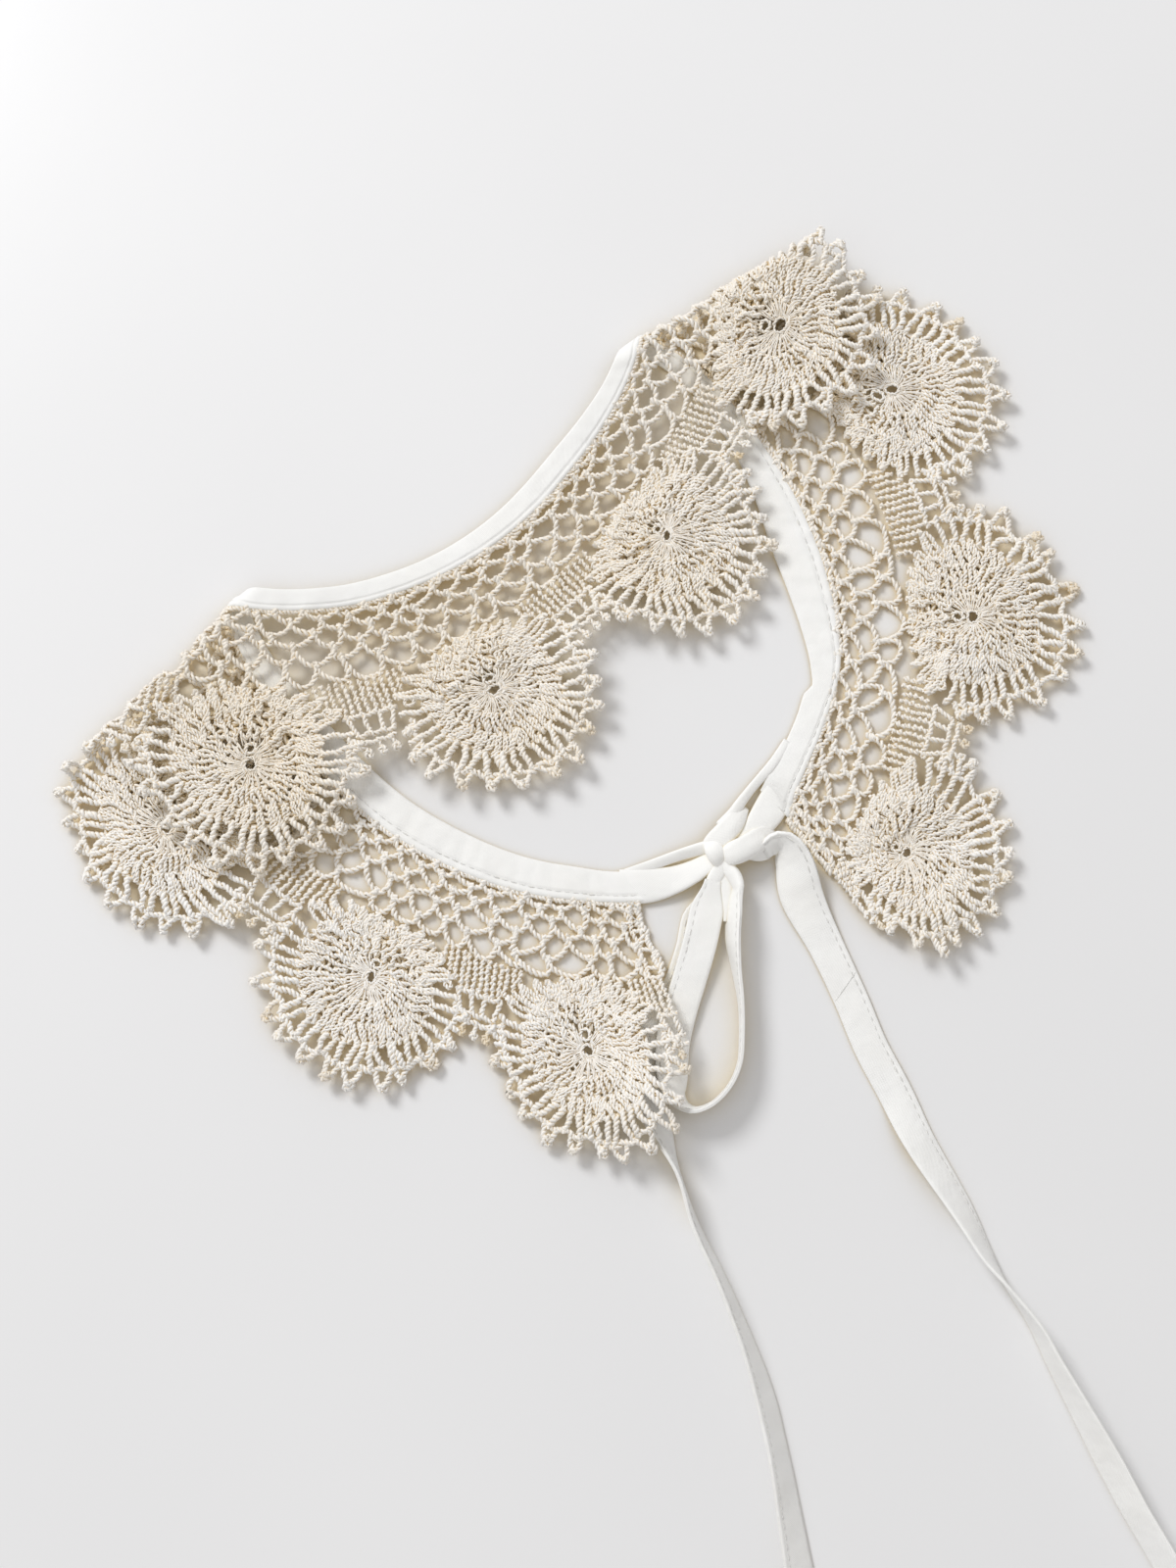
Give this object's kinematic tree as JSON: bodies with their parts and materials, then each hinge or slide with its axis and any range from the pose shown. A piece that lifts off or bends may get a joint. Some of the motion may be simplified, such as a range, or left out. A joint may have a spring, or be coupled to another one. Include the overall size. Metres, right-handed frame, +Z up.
{
  "type": "crochet collar",
  "caption": "Crochet lace collar of fan medallions under a net yoke, its neck bound in cotton tape tied in a half bow, lying folded flat on a table with both ties laid out.",
  "frame": {"origin": "on the table, under the middle of the collar's box, its ties left out", "axes": "+Z up from the table; +X across the collar, from its left fold to the side with the standing scallops; -Y towards the tied front, where the ties run out"},
  "size_m": [0.3017, 0.3954, 0.0114],
  "materials": {
    "lace": "mercerised cotton crochet thread, cream, soft sheen",
    "tape": "plain woven cotton bias tape, off-white, matt"
  },
  "bodies": {
    "root": {"yoke_front_left": "lace", "yoke_left_fold": "lace", "yoke_back": "lace", "yoke_right_fold": "lace", "yoke_front_right": "lace", "medallion_01": "lace", "medallion_02": "lace", "medallion_03": "lace", "medallion_04": "lace", "medallion_05": "lace", "medallion_06": "lace", "medallion_07": "lace", "medallion_08": "lace", "medallion_09": "lace", "medallion_10": "lace", "wedge_01": "lace", "wedge_02": "lace", "wedge_03": "lace", "wedge_04": "lace", "wedge_05": "lace", "wedge_06": "lace", "wedge_07": "lace", "wedge_08": "lace", "wedge_09": "lace", "end_band_left": "lace", "end_band_right": "lace", "binding_front_left": "tape", "binding_left_fold": "tape", "binding_back": "tape", "binding_right_fold": "tape", "binding_front_right": "tape", "tie_left": "tape", "tie_right": "tape", "bow_loop": "tape", "knot": "tape"}
  },
  "joints": []
}
